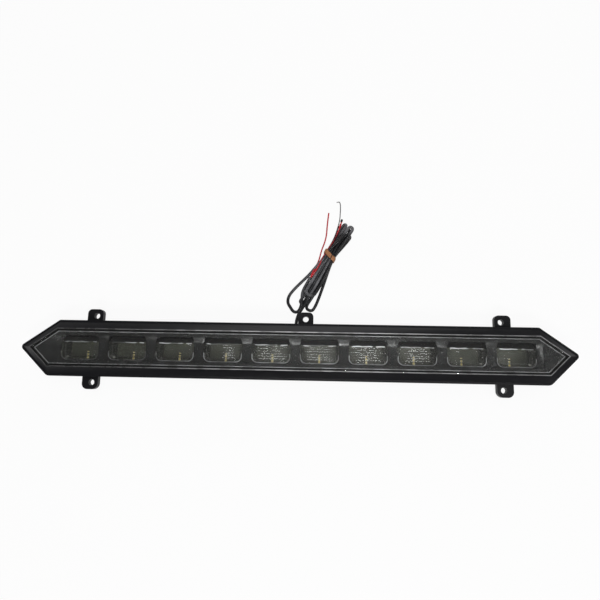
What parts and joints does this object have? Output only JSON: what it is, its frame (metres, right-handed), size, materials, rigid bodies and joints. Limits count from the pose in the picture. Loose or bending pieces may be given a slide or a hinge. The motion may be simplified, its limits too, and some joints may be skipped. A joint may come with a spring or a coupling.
{
  "type": "grille light",
  "caption": "Slim LED light bar with pointed ends for a vehicle grille: clear lens in a sloped black rim, fluted optics in a row of cells, bolt-on tabs and a tied lead.",
  "frame": {"origin": "middle of the flat back, lead left out", "axes": "+X along the bar, +Y towards the edge with three tabs, +Z out through the lens"},
  "size_m": [0.556, 0.2071, 0.0336],
  "materials": {
    "housing": "fine moulded texture",
    "lens": "clear and polished",
    "seal": "dull",
    "mask": "satin gloss",
    "optic": "clear, fluted in front",
    "led": "yellow phosphor in a pale package",
    "board": "dark solder mask",
    "chip": "moulded epoxy",
    "grommet": "dull",
    "socket": "pale moulded nylon",
    "sheath": "slightly glossy sheath",
    "red_core": "wire insulation",
    "black_core": "wire insulation",
    "bare_core": "tinned strands",
    "tie": "tan rubber band"
  },
  "bodies": {
    "root": {"rear_housing": "housing", "front_lens": "lens", "lens_seal": "seal", "inner_mask": "mask", "optic_01": "optic", "optic_02": "optic", "optic_03": "optic", "optic_04": "optic", "optic_05": "optic", "optic_06": "optic", "optic_07": "optic", "optic_08": "optic", "optic_09": "optic", "optic_10": "optic", "led_01": "led", "led_02": "led", "led_03": "led", "led_04": "led", "led_05": "led", "led_06": "led", "led_07": "led", "led_08": "led", "led_09": "led", "led_10": "led", "led_board": "board", "driver_chip": "chip", "input_diode": "chip", "lead_socket": "socket", "cable_grommet": "grommet", "lead_tube": "sheath", "lead_hank": "sheath", "hank_tie": "tie", "red_wire_free": "red_core", "red_wire_tied": "red_core", "black_wire": "black_core", "black_wire_end": "bare_core"}
  },
  "joints": []
}
